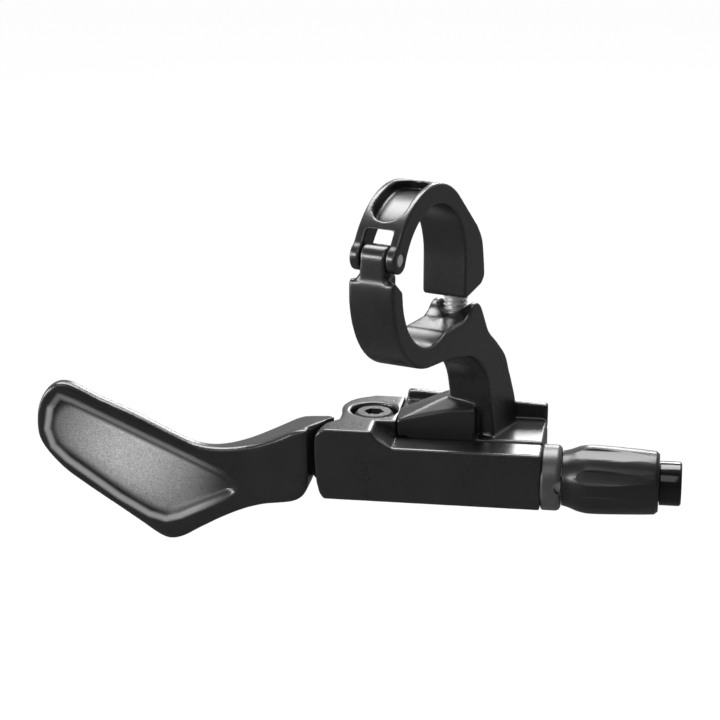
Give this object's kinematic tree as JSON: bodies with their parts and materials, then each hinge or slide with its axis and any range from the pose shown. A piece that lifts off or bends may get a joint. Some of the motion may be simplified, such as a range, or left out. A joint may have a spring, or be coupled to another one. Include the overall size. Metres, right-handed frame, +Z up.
{
  "type": "dropper post remote lever",
  "caption": "Thumb lever on a short housing under a hinged bar clamp, with a barrel adjuster for the cable.",
  "frame": {"origin": "centre of the handlebar clamp's bore", "axes": "+X along the handlebar towards the barrel adjuster's side, +Y forward and away from the rider, +Z up"},
  "size_m": [0.1002, 0.0522, 0.0661],
  "materials": {
    "black_anodised": "satin black anodised",
    "grey_anodised": "satin grey anodised",
    "knob_anodised": "fine satin black anodised",
    "bright_steel": "bright zinc plated",
    "dark_steel": "black oxide",
    "spring_steel": "drawn wire",
    "bushing_plastic": "plain bearing plastic",
    "cap_plastic": "glossy black",
    "seal_rubber": "matte black"
  },
  "bodies": {
    "mount_body": {"clamp_base": "black_anodised", "housing": "black_anodised", "base_screws": "dark_steel", "pivot_bolt": "dark_steel", "adjuster_collar": "grey_anodised", "return_spring": "spring_steel", "adjuster_spring": "spring_steel"},
    "band_body": {"clamp_band": "black_anodised", "hinge_pin": "bright_steel"},
    "bolt_body": {"clamp_bolt": "bright_steel"},
    "lever_body": {"lever": "black_anodised", "upper_bushing": "bushing_plastic", "lower_bushing": "bushing_plastic"},
    "anchor_body": {"cable_anchor": "bright_steel", "anchor_screw": "dark_steel"},
    "cap_body": {"cable_end_cap": "cap_plastic", "end_cap_ring": "seal_rubber"},
    "knob_body": {"adjuster_knob": "knob_anodised", "adjuster_stem": "dark_steel"}
  },
  "joints": [
    {"name": "lever_pivot", "type": "hinge", "parent": "mount_body", "child": "lever_body", "pos_m": [-0.01731, 0.02048, -0.0378], "axis": [0, 0, -1], "range_deg": [0, 35], "stiffness_Nm_per_rad": 0.25, "springref_deg": -20.05, "deforming": ["return_spring"]},
    {"name": "anchor_swivel", "type": "hinge", "parent": "lever_body", "child": "anchor_body", "pos_m": [-0.01101, 0.01588, -0.0395], "axis": [0, 0, 1], "range_deg": [0, 35]},
    {"name": "adjuster_travel", "type": "slide", "parent": "mount_body", "child": "cap_body", "axis": [0.9455, 0.3256, 0], "range_m": [0, 0.003], "deforming": ["adjuster_spring"]},
    {"name": "adjuster_turn", "type": "hinge", "parent": "cap_body", "child": "knob_body", "pos_m": [0.01583, 0.02512, -0.0395], "axis": [0.9455, 0.3256, 0], "range_deg": [0, 1080]},
    {"name": "band_hinge", "type": "hinge", "parent": "mount_body", "child": "band_body", "pos_m": [0, -0.01215, 0.00516], "axis": [1, 0, 0], "range_deg": [0, 4]},
    {"name": "bolt_travel", "type": "slide", "parent": "mount_body", "child": "bolt_body", "axis": [0, 0, 1], "range_m": [0, 0.0024]}
  ],
  "couplings": [
    {"joint": "anchor_swivel", "follows": "lever_pivot", "ratio": 1},
    {"joint": "adjuster_turn", "follows": "adjuster_travel", "rad_per_m": 6283},
    {"joint": "bolt_travel", "follows": "band_hinge", "m_per_rad": 0.033}
  ]
}
